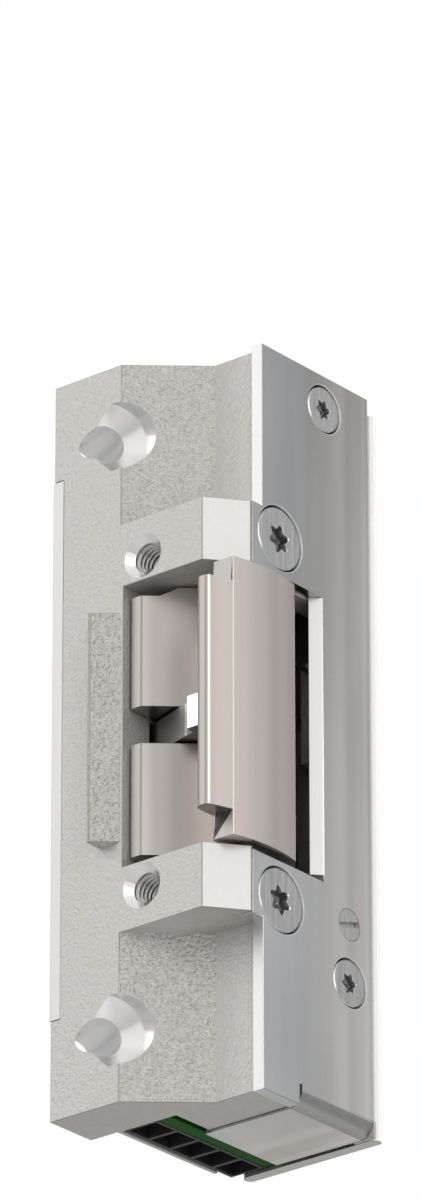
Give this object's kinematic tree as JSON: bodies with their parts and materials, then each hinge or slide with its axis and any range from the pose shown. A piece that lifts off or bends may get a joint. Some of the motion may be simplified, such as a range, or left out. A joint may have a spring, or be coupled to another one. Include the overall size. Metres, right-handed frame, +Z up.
{
  "type": "electric door strike",
  "caption": "Tall narrow electric door strike: cast housing, sheet-metal covers, hinged keeper with ramp blocks, latch feeler and a solenoid lock inside.",
  "frame": {"origin": "midway between the two tapped faceplate screw holes, 1.5 mm behind the flat front face, where their threads start", "axes": "+X to the right as seen from the front, towards the keeper's arm; +Y away from the viewer, into the door frame; +Z up"},
  "size_m": [0.0292, 0.033, 0.1],
  "materials": {
    "cast_housing": "die-cast zinc, matt grey, slightly wrinkled",
    "sheet_steel": "stainless sheet, brushed",
    "satin_nickel": "satin nickel plate on a casting",
    "steel_pin": "ground steel",
    "bronze": "sintered bronze",
    "spring_steel": "drawn spring wire",
    "sintered_steel": "sintered steel, dark",
    "soft_iron": "zinc-plated soft iron",
    "bobbin_plastic": "moulded, ivory",
    "taped_winding": "enamelled copper winding",
    "lead_insulation": "dark red insulation",
    "black_plastic": "moulded, black",
    "plunger_plastic": "moulded, orange-red",
    "board_laminate": "green solder resist",
    "plated_steel": "zinc-plated steel"
  },
  "bodies": {
    "base": {"housing": "cast_housing", "side_plate": "sheet_steel", "left_plate": "sheet_steel", "back_plate": "sheet_steel", "keeper_pin": "steel_pin", "keeper_spring": "spring_steel", "lock_lever_pin": "steel_pin", "lock_lever_spring": "spring_steel", "armature_pin": "steel_pin", "armature_spring": "spring_steel", "yoke": "soft_iron", "solenoid_core": "soft_iron", "coil_bobbin": "bobbin_plastic", "coil_winding": "taped_winding", "coil_leads": "lead_insulation", "feeler_spring": "spring_steel", "latch_switch": "black_plastic", "lock_switch": "black_plastic", "circuit_board": "board_laminate", "suppressor_diode": "black_plastic", "terminal_block": "black_plastic", "terminal_clamps": "plated_steel", "terminal_screws": "plated_steel", "large_plate_screws": "plated_steel", "small_plate_screws": "plated_steel", "back_plate_screws": "plated_steel", "left_plate_screws": "plated_steel"},
    "keeper_body": {"keeper": "satin_nickel", "keeper_bushes": "bronze"},
    "lever_body": {"lock_lever": "sintered_steel"},
    "armature_body": {"armature": "soft_iron"},
    "feeler_body": {"latch_feeler": "satin_nickel", "feeler_shaft": "steel_pin"},
    "latch_plunger_body": {"latch_switch_plunger": "plunger_plastic"},
    "lock_plunger_body": {"lock_switch_plunger": "plunger_plastic"},
    "changeover_body": {"changeover_screw": "plated_steel"}
  },
  "joints": [
    {"name": "keeper_swing", "type": "hinge", "parent": "base", "child": "keeper_body", "pos_m": [0.00635, 0.0111, 0], "axis": [0, 0, 1], "range_deg": [0, 38], "stiffness_Nm_per_rad": 0.03, "springref_deg": -17.19, "deforming": ["keeper_spring"]},
    {"name": "lock_lever_swing", "type": "hinge", "parent": "base", "child": "lever_body", "pos_m": [0.00555, 0.0225, 0.002], "axis": [1, 0, 0], "range_deg": [0, 8.2], "deforming": ["lock_lever_spring"]},
    {"name": "armature_tilt", "type": "hinge", "parent": "base", "child": "armature_body", "pos_m": [-0.00115, 0.0107, 0.03035], "axis": [1, 0, 0], "range_deg": [0, 6.2], "deforming": ["armature_spring"]},
    {"name": "feeler_swing", "type": "hinge", "parent": "base", "child": "feeler_body", "pos_m": [-0.00725, 0.0085, 0], "axis": [0, 0, 1], "range_deg": [0, 10], "stiffness_Nm_per_rad": 0.004, "springref_deg": -17.19, "deforming": ["feeler_spring"]},
    {"name": "latch_plunger_slide", "type": "slide", "parent": "base", "child": "latch_plunger_body", "axis": [0, 1, 0], "range_m": [0, 0.00052]},
    {"name": "lock_plunger_slide", "type": "slide", "parent": "base", "child": "lock_plunger_body", "axis": [0, 1, 0], "range_m": [0, 0.00122]},
    {"name": "changeover_turn", "type": "hinge", "parent": "base", "child": "changeover_body", "pos_m": [0.01055, 0.02225, -0.02335], "axis": [1, 0, 0], "range_deg": [0, 90]}
  ],
  "couplings": [
    {"joint": "lock_lever_swing", "follows": "keeper_swing", "ratio": 0.21053},
    {"joint": "armature_tilt", "follows": "keeper_swing", "ratio": 0.1579},
    {"joint": "lock_plunger_slide", "follows": "keeper_swing", "m_per_rad": 0.0018093},
    {"joint": "latch_plunger_slide", "follows": "feeler_swing", "m_per_rad": 0.0028648}
  ]
}
